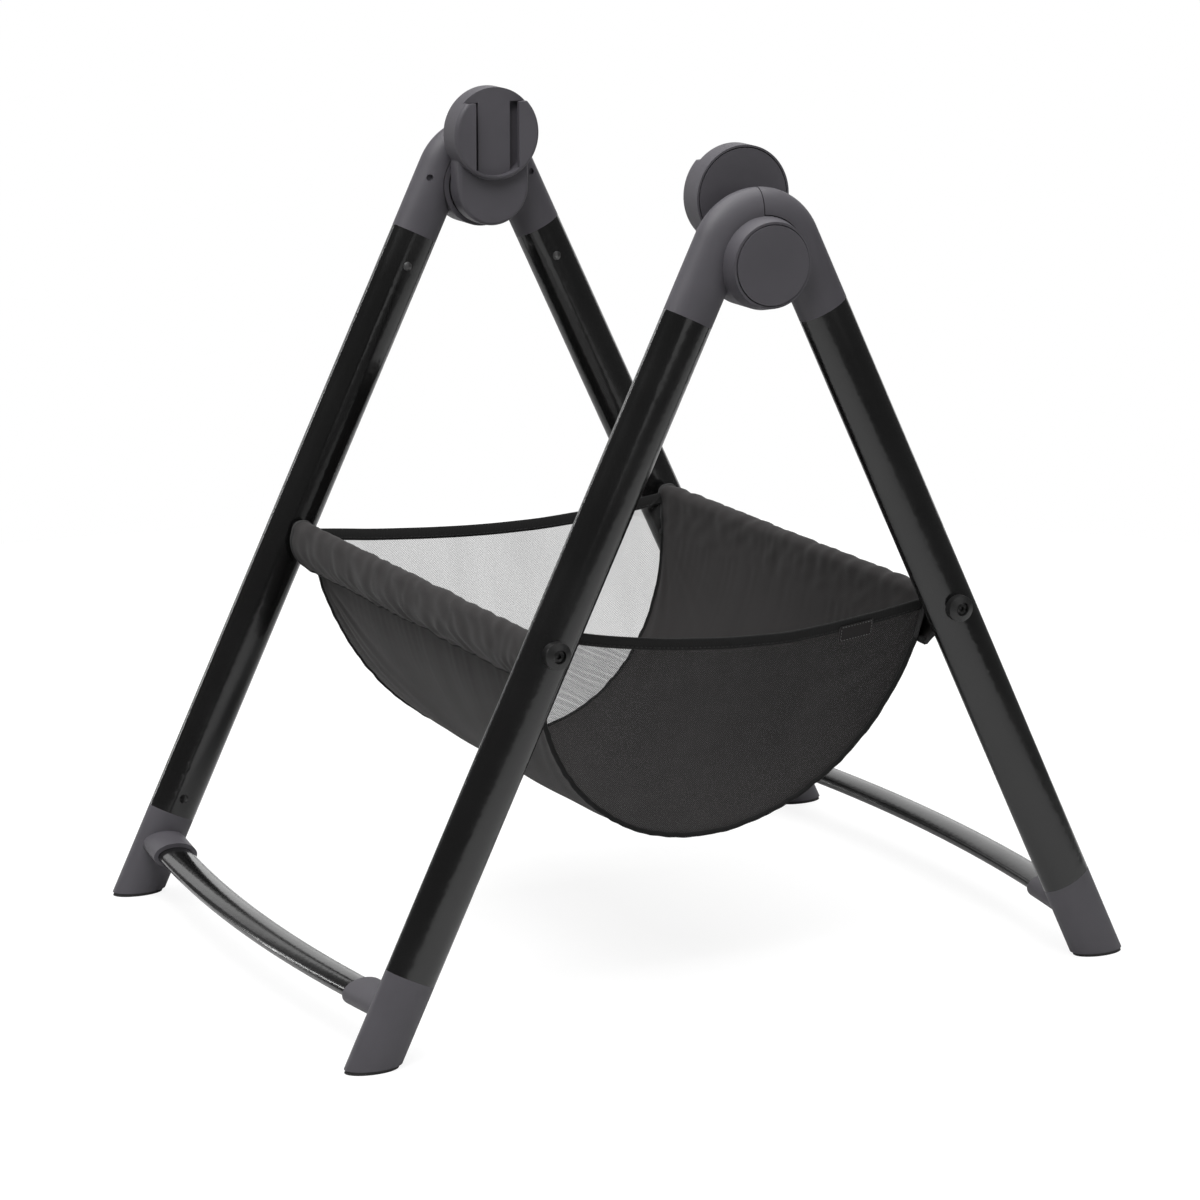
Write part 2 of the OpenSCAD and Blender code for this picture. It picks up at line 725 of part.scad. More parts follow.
// Binding tape over the panel's top edge
module basket_binding(side) {
    color(cloth_color) difference() {
        inside_sling(0);
        beyond_panel(side, 0);
        on_side(side) translate([-binding_t, 0, 0]) difference() {
            translate([-2 * basket_x, -2 * rod_y, 0]) cube([4 * basket_x, 4 * rod_y, 2 * rod_z]);
            beyond_panel(right, 0);
        }
        difference() {
            translate([-2 * basket_x, -2 * rod_y, 0]) cube([4 * basket_x, 4 * rod_y, 2 * rod_z]);
            translate([-2 * basket_x, 0, panel_bend_z]) rotate([0, 90, 0])
                cylinder(r = panel_bend_r + binding_h - panel_gap, h = 4 * basket_x, $fn = 360);
        }
    }
}

// Woven tag on the outside of the right end's binding
module basket_tag() {
    color(rubber_color) translate([basket_x, tag_y, rod_z - panel_sag]) rotate([0, lean_angle, 0])
        translate([0.3, -tag_w / 2, -tag_h - 4]) cube([tag_t, tag_w, tag_h]);
}

leg(front, left);  // front_leg_left
leg(front, right);  // front_leg_right
leg(rear, left);  // rear_leg_left
leg(rear, right);  // rear_leg_right
front_hub(left);  // front_hub_left
front_hub(right);  // front_hub_right
rear_hub(left);  // rear_hub_left
rear_hub(right);  // rear_hub_right
foot(front, left);  // front_foot_left
foot(front, right);  // front_foot_right
foot(rear, left);  // rear_foot_left
foot(rear, right);  // rear_foot_right
pad(front, left);  // front_pad_left
pad(front, right);  // front_pad_right
pad(rear, left);  // rear_pad_left
pad(rear, right);  // rear_pad_right
crossbar(front);  // front_crossbar
crossbar(rear);  // rear_crossbar
basket_rod(front);  // front_basket_rod
basket_rod(rear);  // rear_basket_rod
rod_bolts(front);  // front_rod_bolts
rod_bolts(rear);  // rear_rod_bolts
rod_caps(front);  // front_rod_caps
rod_caps(rear);  // rear_rod_caps
leg_screws(front, hub_screw_place);  // front_hub_screws
leg_screws(rear, hub_screw_place);  // rear_hub_screws
leg_screws(front, foot_screw_place);  // front_foot_screws
leg_screws(rear, foot_screw_place);  // rear_foot_screws
pivot_bolt(left);  // pivot_bolt_left
pivot_bolt(right);  // pivot_bolt_right
pivot_nut(left);  // pivot_nut_left
pivot_nut(right);  // pivot_nut_right
thrust_washer(left);  // thrust_washer_left
thrust_washer(right);  // thrust_washer_right
adapter(left);  // adapter_left
adapter(right);  // adapter_right
adapter_cover(left);  // adapter_cover_left
adapter_cover(right);  // adapter_cover_right
adapter_screws(left);  // adapter_screws_left
adapter_screws(right);  // adapter_screws_right
button(left);  // button_left
button(right);  // button_right
lock_gear(left);  // lock_gear_left
lock_gear(right);  // lock_gear_right
lock_spring(left);  // lock_spring_left
lock_spring(right);  // lock_spring_right
basket_sling();
basket_panel(left);  // basket_panel_left
basket_panel(right);  // basket_panel_right
basket_binding(left);  // basket_binding_left
basket_binding(right);  // basket_binding_right
basket_tag();
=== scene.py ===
import json
import math

import bpy
import numpy as np
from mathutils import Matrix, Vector, noise


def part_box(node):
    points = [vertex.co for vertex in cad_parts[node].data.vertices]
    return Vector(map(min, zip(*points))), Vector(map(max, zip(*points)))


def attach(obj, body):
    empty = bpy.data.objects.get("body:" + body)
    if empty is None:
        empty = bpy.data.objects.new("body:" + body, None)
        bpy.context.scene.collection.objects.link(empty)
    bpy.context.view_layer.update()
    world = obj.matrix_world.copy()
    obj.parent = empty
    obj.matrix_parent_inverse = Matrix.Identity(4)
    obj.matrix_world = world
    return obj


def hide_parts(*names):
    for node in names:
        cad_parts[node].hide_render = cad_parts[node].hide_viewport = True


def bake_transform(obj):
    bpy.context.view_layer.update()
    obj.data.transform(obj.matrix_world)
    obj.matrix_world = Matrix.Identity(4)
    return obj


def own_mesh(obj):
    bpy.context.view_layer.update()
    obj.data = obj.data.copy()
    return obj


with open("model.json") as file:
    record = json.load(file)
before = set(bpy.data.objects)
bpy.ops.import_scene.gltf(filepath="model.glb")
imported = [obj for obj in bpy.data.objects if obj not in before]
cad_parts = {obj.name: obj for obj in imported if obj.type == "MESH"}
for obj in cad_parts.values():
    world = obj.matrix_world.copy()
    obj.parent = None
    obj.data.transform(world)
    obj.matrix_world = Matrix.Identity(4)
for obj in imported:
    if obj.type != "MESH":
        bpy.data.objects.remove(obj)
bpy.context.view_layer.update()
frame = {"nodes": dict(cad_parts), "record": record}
print("frame loaded")

slotOf = {p["node"]: p["material_slot"] for p in frame["record"]["subparts"]}


class Wire:
    # a socket that can be added and multiplied; each step is a Math node
    def __init__(self, finish, socket):
        self.finish, self.socket = finish, socket

    def math(self, operation, first, second):
        node = self.finish.add("ShaderNodeMath", {"operation": operation}, {0: first, 1: second})
        return self.finish.out(node)

    def __add__(self, other):
        return self.math("ADD", self, other)

    def __radd__(self, other):
        return self.math("ADD", other, self)

    def __mul__(self, other):
        return self.math("MULTIPLY", self, other)

    def __rmul__(self, other):
        return self.math("MULTIPLY", other, self)


class Finish:
    # a material with one Principled shader, and the nodes that feed it
    def __init__(self, name, **constants):
        self.material = bpy.data.materials.new(name)
        self.material.use_nodes = True
        self.tree = self.material.node_tree
        self.shader = self.tree.nodes["Principled BSDF"]
        for socket, value in constants.items():
            self.shader.inputs[socket.replace("_", " ")].default_value = value

    def add(self, kind, settings=None, sockets=None):
        node = self.tree.nodes.new(kind)
        for key, value in (settings or {}).items():
            setattr(node, key, value)
        for key, value in (sockets or {}).items():
            if isinstance(value, Wire):
                self.tree.links.new(value.socket, node.inputs[key])
            else:
                node.inputs[key].default_value = value
        return node

    def out(self, node, name=0):
        return Wire(self, node.outputs[name])

    def feed(self, socket, wire):
        self.tree.links.new(wire.socket, self.shader.inputs[socket])

    def place(self, scale=(1, 1, 1), attribute=None):
        # metres in the object's own space, or along the cloth, times a scale
        if attribute:
            source = self.out(self.add("ShaderNodeAttribute", {"attribute_name": attribute}), "Vector")
        else:
            source = self.out(self.add("ShaderNodeTexCoord"), "Object")
        return self.out(self.add("ShaderNodeVectorMath", {"operation": "MULTIPLY"}, {0: source, 1: scale}))

    def noise(self, where, scale, detail=3.0, rough=0.55):
        return self.out(self.add("ShaderNodeTexNoise", {}, {
            "Vector": where, "Scale": scale, "Detail": detail, "Roughness": rough}))

    def smooth(self, value, low, high, to=(0.0, 1.0)):
        return self.out(self.add("ShaderNodeMapRange", {"interpolation_type": "SMOOTHSTEP"}, {
            "Value": value, "From Min": low, "From Max": high, "To Min": to[0], "To Max": to[1]}))

    def blend(self, factor, first, second):
        node = self.add("ShaderNodeMix", {"data_type": "RGBA"}, {0: factor, 6: first, 7: second})
        return self.out(node, 2)

    def bump(self, height, strength, distance):
        node = self.add("ShaderNodeBump", {}, {"Strength": strength, "Distance": distance, "Height": height})
        self.feed("Normal", self.out(node, "Normal"))


def grey(value, tint=(1, 1, 1)):
    return (value * tint[0], value * tint[1], value * tint[2], 1)


# plastics: tone is the grey level, grain is how many grains to a metre
housing = {"tone": 0.062, "tint": (1.02, 0.965, 1.10), "rough": 0.52, "grain": 1500, "grainHeight": 0.00012}
cap = {"tone": 0.011, "tint": (1.0, 1.0, 1.0), "rough": 0.36, "grain": 900, "grainHeight": 0.00005}


def mouldedFinish(name, plastic):
    f = Finish(name, IOR=1.5, Specular_IOR_Level=0.42)
    here = f.place()
    cloud = f.noise(here, 14, 4)
    tone, tint, rough = plastic["tone"], plastic["tint"], plastic["rough"]
    f.feed("Base Color", f.blend(f.smooth(cloud, 0.3, 0.7), grey(tone * 0.93, tint), grey(tone * 1.08, tint)))
    grain = f.noise(here, plastic["grain"], 2, 0.6)
    f.feed("Roughness", f.smooth(cloud * 0.5 + grain * 0.5, 0.35, 0.65, (rough - 0.05, rough + 0.06)))
    f.bump(grain, 0.35, plastic["grainHeight"])
    return f.material


tube = {"tone": 0.0045, "rough": 0.17, "peel": 260, "peelHeight": 0.00006}


def tubeFinish(name):
    # gloss powder coat with a faint orange peel
    f = Finish(name, IOR=1.5, Coat_Roughness=0.06)
    here = f.place()
    cloud = f.noise(here, 9, 4)
    tone = tube["tone"]
    f.feed("Base Color", f.blend(f.smooth(cloud, 0.3, 0.7), grey(tone * 0.85), grey(tone * 1.2)))
    peel = f.noise(here, tube["peel"], 2)
    f.feed("Roughness", f.smooth(cloud, 0.3, 0.75, (tube["rough"] - 0.03, tube["rough"] + 0.06)))
    f.feed("Coat Weight", f.smooth(cloud, 0.25, 0.75, (0.25, 0.15)))
    f.bump(peel, 0.2, tube["peelHeight"])
    return f.material


rubber = {"tone": 0.03, "rough": 0.78}


def rubberFinish():
    f = Finish("footRubber", IOR=1.5)
    here = f.place()
    cloud = f.noise(here, 60, 4)
    f.feed("Base Color", f.blend(cloud, grey(rubber["tone"] * 0.8), grey(rubber["tone"] * 1.25)))
    f.feed("Roughness", f.smooth(cloud, 0.3, 0.7, (rubber["rough"], rubber["rough"] + 0.12)))
    f.bump(f.noise(here, 900, 2), 0.4, 0.0001)
    return f.material


steel = {"tone": 0.5, "rough": 0.3}


def steelFinish():
    f = Finish("zincSteel", Metallic=1.0)
    here = f.place((1, 1, 12))
    brushed = f.noise(here, 420, 3)
    tone = steel["tone"]
    f.feed("Base Color", f.blend(brushed, grey(tone * 0.85), grey(tone * 1.1, (1, 1, 1.02))))
    f.feed("Roughness", f.smooth(brushed, 0.3, 0.7, (steel["rough"] - 0.06, steel["rough"] + 0.08)))
    f.bump(brushed, 0.15, 0.00004)
    return f.material


def boltFinish(name, dark, bare):
    # blackened metal that shows through where it is worn
    f = Finish(name, Metallic=0.9)
    here = f.place()
    worn = f.noise(here, 260, 3)
    f.feed("Base Color", f.blend(f.smooth(worn, 0.45, 0.8), grey(dark), grey(bare)))
    f.feed("Roughness", f.smooth(worn, 0.3, 0.7, (0.28, 0.42)))
    f.bump(worn, 0.15, 0.00004)
    return f.material


def gearFinish():
    f = Finish("gearNylon")
    here = f.place()
    cloud = f.noise(here, 300, 3)
    f.feed("Base Color", f.blend(cloud, grey(0.035), grey(0.05)))
    f.feed("Roughness", f.smooth(cloud, 0.3, 0.7, (0.45, 0.6)))
    f.bump(cloud, 0.2, 0.00006)
    return f.material


canvas = {"tone": 0.0195, "tint": (1.07, 0.975, 0.975), "rough": 0.86, "thread": 0.0011, "height": 0.00022}


def wovenFinish(name, tone, thread, height, wash=0.25):
    # plain weave: warp and weft waves along the cloth's own two directions
    f = Finish(name, IOR=1.45, Specular_IOR_Level=0.25, Sheen_Weight=0.09, Sheen_Roughness=0.45)
    here = f.place((1, 1, 1), "weave")
    wobble = f.noise(here, 90, 2)
    parts = f.add("ShaderNodeSeparateXYZ", {}, {0: here})
    turns = math.pi / thread  # one wave for two threads
    waves = []
    for axis in (0, 1):
        angle = f.out(parts, axis) * turns + wobble * 1.4
        waves.append(f.out(f.add("ShaderNodeMath", {"operation": "SINE"}, {0: angle})))
    weave = waves[0] * waves[1] * 0.5 + 0.5
    cloud = f.noise(here, 16, 4)
    fleck = f.noise(here, 700, 2)
    shade = weave * 0.5 + cloud * 0.3 + fleck * 0.2
    pale, dark = grey(tone * (1 + wash), canvas["tint"]), grey(tone * (1 - wash), canvas["tint"])
    f.feed("Base Color", f.blend(f.smooth(shade, 0.25, 0.75), dark, pale))
    f.feed("Roughness", f.smooth(shade, 0.2, 0.8, (canvas["rough"] - 0.06, canvas["rough"] + 0.06)))
    f.bump(weave * 0.8 + fleck * 0.2, 0.55, height)
    return f.material


net = {"tone": 0.016, "pitch": 0.0017, "open": 0.235, "thread": 0.86, "folds": 0.05}


def netFinish():
    # warp-knitted net: two crossed sets of threads, open between them
    f = Finish("sheerNet", IOR=1.45, Roughness=0.7, Specular_IOR_Level=0.2)
    here = f.place((1, 1, 1), "weave")
    parts = f.add("ShaderNodeSeparateXYZ", {}, {0: here})
    x, y = f.out(parts, 0), f.out(parts, 1)
    turns = 2 * math.pi / net["pitch"]
    lines = []
    for along, across in ((0.5, 0.5), (0.5, -0.5)):
        angle = x * (turns * along) + y * (turns * across)
        wave = f.out(f.add("ShaderNodeMath", {"operation": "SINE"}, {0: angle}))
        lines.append(f.out(f.add("ShaderNodeMath", {"operation": "ABSOLUTE"}, {0: wave})))
    low = f.out(f.add("ShaderNodeMath", {"operation": "MINIMUM"}, {0: lines[0], 1: lines[1]}))
    thread = f.smooth(low, 0.40, 0.22)
    cloud = f.noise(here, 25, 3)
    hang = f.smooth(f.noise(f.place((1, 0.22, 1), "weave"), 17, 2), 0.38, 0.68)
    f.feed("Alpha", thread * (net["thread"] - net["open"]) + hang * net["folds"] + net["open"])
    f.feed("Base Color", f.blend(cloud, grey(net["tone"] * 0.8), grey(net["tone"] * 1.3)))
    f.bump(thread, 0.3, 0.0001)
    return f.material


def tapeFinish(name, tone, pitch):
    # grosgrain: ribs across the tape
    f = Finish(name, IOR=1.45, Specular_IOR_Level=0.15, Sheen_Weight=0.03)
    here = f.place((1, 1, 1), "weave")
    along = f.out(f.add("ShaderNodeSeparateXYZ", {}, {0: here}), 0)
    rib = f.out(f.add("ShaderNodeMath", {"operation": "SINE"}, {0: along * (2 * math.pi / pitch)})) * 0.5 + 0.5
    fleck = f.noise(here, 500, 2)
    shade = rib * 0.6 + fleck * 0.4
    f.feed("Base Color", f.blend(f.smooth(shade, 0.2, 0.8), grey(tone * 0.75), grey(tone * 1.3)))
    f.feed("Roughness", f.smooth(shade, 0.2, 0.8, (0.68, 0.84)))
    f.bump(rib * 0.7 + fleck * 0.3, 0.5, 0.00018)
    return f.material


finishes = {
    "plastic": mouldedFinish("charcoalNylon", housing),
    "cap": mouldedFinish("blackBoltCap", cap),
    "tube": tubeFinish("glossBlackPowderCoat"),
    "ring": tubeFinish("glossBlackRing"),
    "bolt": boltFinish("blackOxideBolt", 0.02, 0.09),
    "screw": boltFinish("zincScrew", 0.10, 0.30),
    "rubber": rubberFinish(),
    "steel": steelFinish(),
    "gear": gearFinish(),
    "cloth": wovenFinish("blackCanvas", canvas["tone"], canvas["thread"], canvas["height"]),
    "mesh": netFinish(),
    "tag": wovenFinish("tagWeave", 0.014, 0.0007, 0.00012, 0.35),
    "binding": tapeFinish("bindingTape", 0.011, 0.0016),
    "rim": tapeFinish("sleeveRimTape", 0.03, 0.0014),
    "thread": tapeFinish("sewingThread", 0.02, 0.0008),
    "tagThread": tapeFinish("tagBorderThread", 0.11, 0.0008),
}
# CAD nodes that look different from the rest of their material slot
ownFinish = {"thrust_washer": "ring", "hub_screws": "screw", "foot_screws": "bolt", "rod_bolts": "bolt",
             "rod_caps": "cap"}
for name, node in frame["nodes"].items():
    chosen = next((finish for part, finish in ownFinish.items() if part in name), slotOf[name])
    for place in node.material_slots:
        place.material = finishes[chosen]
print("finishes made")


def newPiece(name, points, faces, finish, weave):
    # weave is each point's place along the cloth, for the woven finishes
    mesh = bpy.data.meshes.new(name)
    mesh.from_pydata([tuple(p) for p in points], [], faces)
    mesh.validate()
    place = mesh.attributes.new("weave", "FLOAT_VECTOR", "POINT")
    place.data.foreach_set("vector", np.array(weave, np.float32).ravel())
    mesh.shade_smooth()
    piece = bpy.data.objects.new(name, mesh)
    bpy.context.scene.collection.objects.link(piece)
    mesh.materials.append(finishes[finish])
    return piece


def thicken(piece, thickness):
    modifier = piece.modifiers.new("thickness", "SOLIDIFY")
    modifier.thickness, modifier.offset = thickness, 0.0
    bpy.context.view_layer.update()
    flat = bpy.data.meshes.new_from_object(piece.evaluated_get(bpy.context.evaluated_depsgraph_get()))
    piece.modifiers.clear()
    old = piece.data
    piece.data = flat
    bpy.data.meshes.remove(old)
    return piece


def gridFaces(rows, across):
    faces = []
    for r in range(rows - 1):
        for c in range(across - 1):
            a, b = r * across + c, (r + 1) * across + c
            faces.append((a, b, b + 1, a + 1))
    return faces


def resample(points, step):
    # points at an even step along a line, and how far along each one is
    points = np.array(points, float)
    lengths = np.r_[0, np.cumsum(np.linalg.norm(np.diff(points, axis=0), axis=1))]
    count = max(2, int(round(lengths[-1] / step)))
    at = np.linspace(0, lengths[-1], count + 1)
    return np.stack([np.interp(at, lengths, points[:, k]) for k in range(points.shape[1])], 1), at


def wave(x, y, seed):
    # smooth noise that is the same in every run
    return noise.noise(Vector((x, y, seed)))


def ease(value, low, high):
    t = min(1.0, max(0.0, (value - low) / (high - low)))
    return t * t * (3 - 2 * t)


def tubeFaces(rings, corners, first):
    # the skin of a tube whose points start at first, with both of its ends
    faces = []
    for r in range(rings - 1):
        for k in range(corners):
            a, b = first + r * corners, first + (r + 1) * corners
            faces.append((a + k, a + (k + 1) % corners, b + (k + 1) % corners, b + k))
    last = first + (rings - 1) * corners
    faces.append(tuple(first + k for k in range(corners - 1, -1, -1)))
    faces.append(tuple(last + k for k in range(corners)))
    return faces


def sweep(name, path, outline, finish, up):
    # a closed outline carried along a path; up is the outline's second axis at each point
    path = np.array(path, float)
    count, corners = len(path), len(outline)
    points, weave, run = [], [], 0.0
    for i in range(count):
        along = Vector(path[min(i + 1, count - 1)] - path[max(i - 1, 0)]).normalized()
        lift = Vector(up[i])
        lift = (lift - along * lift.dot(along)).normalized()
        side = along.cross(lift)
        if i:
            run += float(np.linalg.norm(path[i] - path[i - 1]))
        for wide, high in outline:
            points.append(Vector(path[i]) + side * wide + lift * high)
            weave.append((run, high + wide, 0))
    return newPiece(name, points, tubeFaces(count, corners, 0), finish, weave)


def ring(radius, corners=10, stretch=1.0):
    turns = [2 * math.pi * k / corners for k in range(corners)]
    return [(radius * math.cos(a), radius * stretch * math.sin(a)) for a in turns]


def softRect(width, height, corner):
    outline = []
    for right, top, start in ((1, 1, 0), (-1, 1, 90), (-1, -1, 180), (1, -1, 270)):
        for turn in (0, 30, 60, 90):
            a = math.radians(start + turn)
            outline.append((right * (width / 2 - corner) + corner * math.cos(a),
                            top * (height / 2 - corner) + corner * math.sin(a)))
    return outline


hemStitch = {"pitch": 0.0042, "length": 0.0030, "radius": 0.00042}
tagStitch = {"pitch": 0.0026, "length": 0.0018, "radius": 0.00028}


def stitches(name, path, normals, finish, stitch):
    # a sewn line of short threads that dip into the cloth at both ends
    line, at = resample(np.hstack([np.array(path, float), np.array(normals, float)]), 0.001)
    points, faces, weave = [], [], []
    stations = (-0.5, -0.36, 0.0, 0.36, 0.5)  # along one stitch
    lifts = (-0.0003, 0.0002, 0.0004, 0.0002, -0.0003)  # above the cloth at those places
    corners, thinEnd, lookAhead = 6, 0.55, 0.0005
    pitch, length, radius = stitch["pitch"], stitch["length"], stitch["radius"]
    for n in range(int(at[-1] / pitch)):
        middle = (n + 0.5) * pitch
        base = len(points)
        for share, rise in zip(stations, lifts):
            here = [np.interp(middle + share * length, at, line[:, k]) for k in range(6)]
            ahead = [np.interp(middle + share * length + lookAhead, at, line[:, k]) for k in range(3)]
            spot, out = Vector(here[:3]), Vector(here[3:]).normalized()
            along = (Vector(ahead) - spot).normalized()
            side = along.cross(out)
            size = radius * (thinEnd if abs(share) == 0.5 else 1)
            for k in range(corners):
                a = 2 * math.pi * k / corners
                points.append(spot + out * (rise + size * math.sin(a)) + side * size * math.cos(a))
                weave.append((middle + share * length, size * a, 0))
        faces += tubeFaces(len(stations), corners, base)
    return newPiece(name, points, faces, finish, weave)


# The basket cloth is one strip: front flap, over the rod, down round the basket, over the rear rod, rear flap.
# Its section is a list of (y, depth below the rods), and its rows follow that section.
rodLow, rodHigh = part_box("front_basket_rod")
slingLow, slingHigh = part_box("basket_sling")
basket = {
    "rodY": abs(rodLow.y + rodHigh.y) / 2,
    "rodZ": (rodLow.z + rodHigh.z) / 2,
    "rodR": (rodHigh.z - rodLow.z) / 2,
    "halfX": slingHigh.x,
    "depth": (rodLow.z + rodHigh.z) / 2 - slingLow.z,
    "lean": 0.060,  # how far the ends lean in at the bottom
    "slack": 0.0017,  # air between the rod and the sleeve
    "pocket": 0.037,  # the flap's hem below the rod's axis
    "foot": 0.0032,  # how far the hem stands off the sling
    "puff": 0.0035,  # how far the flap bellies out
    "midSag": 0.005,  # how much lower the sling hangs half way along
    "cloth": 0.0011,  # its thickness
    "step": 0.0032,  # size of the mesh's squares
}
wrap = basket["rodR"] + basket["slack"]
halfY = basket["rodY"] - wrap


def slingDepth(y):
    return basket["depth"] * math.sqrt(max(0.0, 1 - (y / halfY) ** 2))


def halfLength(z):
    # how far the sling and its ends reach along X at a depth below the rods
    return basket["halfX"] - basket["lean"] * max(z, 0) / basket["depth"]


def sectionOfCloth():
    # the section as (y, depth), from the front flap's hem to the rear one's
    seamY = halfY * math.sqrt(1 - (basket["pocket"] / basket["depth"]) ** 2)
    foot, out = seamY + basket["foot"], basket["rodY"] + wrap
    flapSteps, rodSteps, slingSteps = 14, 16, 60
    half = []
    for k in range(flapSteps):
        t = k / flapSteps
        y = foot + (out - foot) * (1 - (1 - t) ** 2.4)
        half.append((y + basket["puff"] * math.sin(math.pi * t) ** 1.3, basket["pocket"] * (1 - t)))
    for k in range(rodSteps + 1):
        a = math.pi * k / rodSteps
        half.append((basket["rodY"] + wrap * math.cos(a), -wrap * math.sin(a)))
    for k in range(1, slingSteps + 1):
        a = math.pi / 2 * k / slingSteps
        half.append((halfY * math.cos(a), basket["depth"] * math.sin(a)))
    mirror = [(y, z) for y, z in reversed(half[:-1])]
    line, at = resample([(-y, z) for y, z in half] + mirror, basket["step"])
    over = int(np.argmin(np.hypot(line[:, 0] + basket["rodY"], line[:, 1] + wrap)))
    inner = [r for r in range(over, len(line) // 2) if line[r, 1] < basket["pocket"]][-1]
    return line, at, over, inner


# overRow is the row on top of the front rod, and frontRow the one where the flap's hem meets the sling
section, sectionAt, overRow, frontRow = sectionOfCloth()
rearRow = len(section) - 1 - frontRow
columns = int(2 * basket["halfX"] / basket["step"])
tangents = np.gradient(section, axis=0)
tangents /= np.linalg.norm(tangents, axis=1)[:, None]


# metres, apart from hemFlat, the share of the gathers that is left at the hem
gather = {"flap": 0.0046, "inside": 0.0012, "width": 0.017, "wide": 0.047, "drift": 0.012,
          "crinkle": 0.0013, "hemWaver": 0.0016, "mouth": 0.0014, "hemZone": 0.004, "hemFlat": 0.55}
crease = {"seam": 0.0004, "below": 0.0008, "broad": 0.0036, "fine": 0.0011, "arc": 0.0009, "corner": 0.0022}


def gathered(x, z, s, fromEnd, side, flap):
    # rounded swells with sharp creases between them, and how far the hem wavers down
    low = ease(z, -0.004, basket["pocket"])
    drift = gather["drift"] * wave(x / 0.05, side + s / 0.05, 4.7)
    swell = (abs(wave((x + drift) / gather["width"], side + s / 0.06, 3.1))
             + 0.7 * abs(wave(x / gather["wide"] + 5, side, 6.1)) - 0.34)
    strength = (gather["flap"] * (0.22 + 0.78 * low)) if flap else gather["inside"]
    out = strength * swell * (0.7 + 0.6 * wave(x / 0.07, side, 8.2))
    out += gather["crinkle"] * wave((x + s * 0.6) / 0.016, s / 0.013, 2.2)
    lower = gather["hemWaver"] * low * wave(x / 0.028, side, 7.4) if flap else 0.0
    out += gather["mouth"] * math.exp(-fromEnd / 0.02) * low * wave(x / 0.0055, side, 5.5)
    if flap and s < gather["hemZone"]:
        out *= gather["hemFlat"] + (1 - gather["hemFlat"]) * s / gather["hemZone"]
    if not flap:
        out *= 1 - 0.5 * ease(z + lower, 0.01, basket["pocket"])
    return out, lower


def creased(x, s, along, fromEnd, side, rightEnd):
    # puckers under the seam, broad folds, and pulls from the four corners
    fromSeam = abs(s - sectionAt[frontRow])
    out = crease["seam"] * math.exp(-fromSeam / 0.03) * (abs(wave(x / 0.0125, side, 3.1)) * 2 - 0.5)
    out += (crease["below"] * math.exp(-fromSeam / 0.11) * ease(fromSeam, 0, 0.02)
            * wave(x / 0.045, side + s / 0.14, 6.3))
    keep = ease(fromEnd, 0.0, 0.05) * ease(fromSeam, 0.0, 0.06)
    out += crease["broad"] * keep * wave(x / 0.16, along / 0.19, 4.4)
    out += crease["fine"] * keep * wave(x / 0.06, along / 0.10, 8.8)
    out += crease["arc"] * math.exp(-fromEnd / 0.012) * wave(s / 0.0095, side, 1.7)
    corner = math.hypot(fromEnd, fromSeam)
    turn = math.atan2(fromSeam, fromEnd + 1e-6)
    out += (crease["corner"] * math.exp(-corner / 0.09) * ease(corner, 0.01, 0.05)
            * wave(turn / 0.18, side + (3 if rightEnd else 0), 2.9))
    return out


def clothPoint(r, u):
    # u runs from -1 to 1 along X
    y, z = section[r]
    mirrored = min(r, len(section) - 1 - r)
    s = sectionAt[mirrored]
    side = 1.0 if r < len(section) / 2 else 7.0  # another pattern on the rear half
    flap = mirrored < overRow
    half = basket["halfX"] if flap else halfLength(z)
    x = u * half
    fromEnd = half * (1 - abs(u))
    if mirrored < frontRow:
        out, lower = gathered(x, z, s, fromEnd, side, flap)
        z += lower
    else:
        out = creased(x, s, sectionAt[r], fromEnd, side, u > 0)
        z = z + basket["midSag"] * (1 - u * u) * (z / basket["depth"]) ** 2
    ty, tz = tangents[r]
    return Vector((x, y - tz * out, basket["rodZ"] - z - ty * out))


def makeCloth():
    points, weave = [], []
    for r in range(len(section)):
        for c in range(columns + 1):
            u = 2 * c / columns - 1
            points.append(clothPoint(r, u))
            weave.append((u * basket["halfX"], sectionAt[r], 0))
    piece = newPiece("basketCloth", points, gridFaces(len(section), columns + 1), "cloth", weave)
    return thicken(piece, basket["cloth"])


cloth = makeCloth()
print("basket cloth made")


# bound hems, piping round the two ends, rims on the sleeve mouths, and the sewn lines
trim = {"piping": 0.0022, "rim": 0.0016, "rimStretch": 1.6, "hemHeight": 0.0058, "hemThickness": 0.0028,
        "corner": 0.0011, "stitchUp": 0.0012}
edgeTrims = {-1: [], 1: []}
for side, word in ((-1, "Left"), (1, "Right")):
    arc = [clothPoint(r, side) for r in range(frontRow, rearRow + 1)]
    edgeTrims[side].append(sweep(f"endPiping{word}", arc, ring(trim["piping"]), "binding",
                                 [Vector((side, 0, 0.3))] * len(arc)))
    for half, rows in (("Front", range(0, frontRow + 1)), ("Rear", range(rearRow, len(section)))):
        mouth = [clothPoint(r, side) for r in rows]
        outline = ring(trim["rim"], 8, trim["rimStretch"])
        edgeTrims[side].append(sweep(f"sleeveRim{half}{word}", mouth, outline, "rim",
                                     [Vector((side, 0, 0))] * len(mouth)))

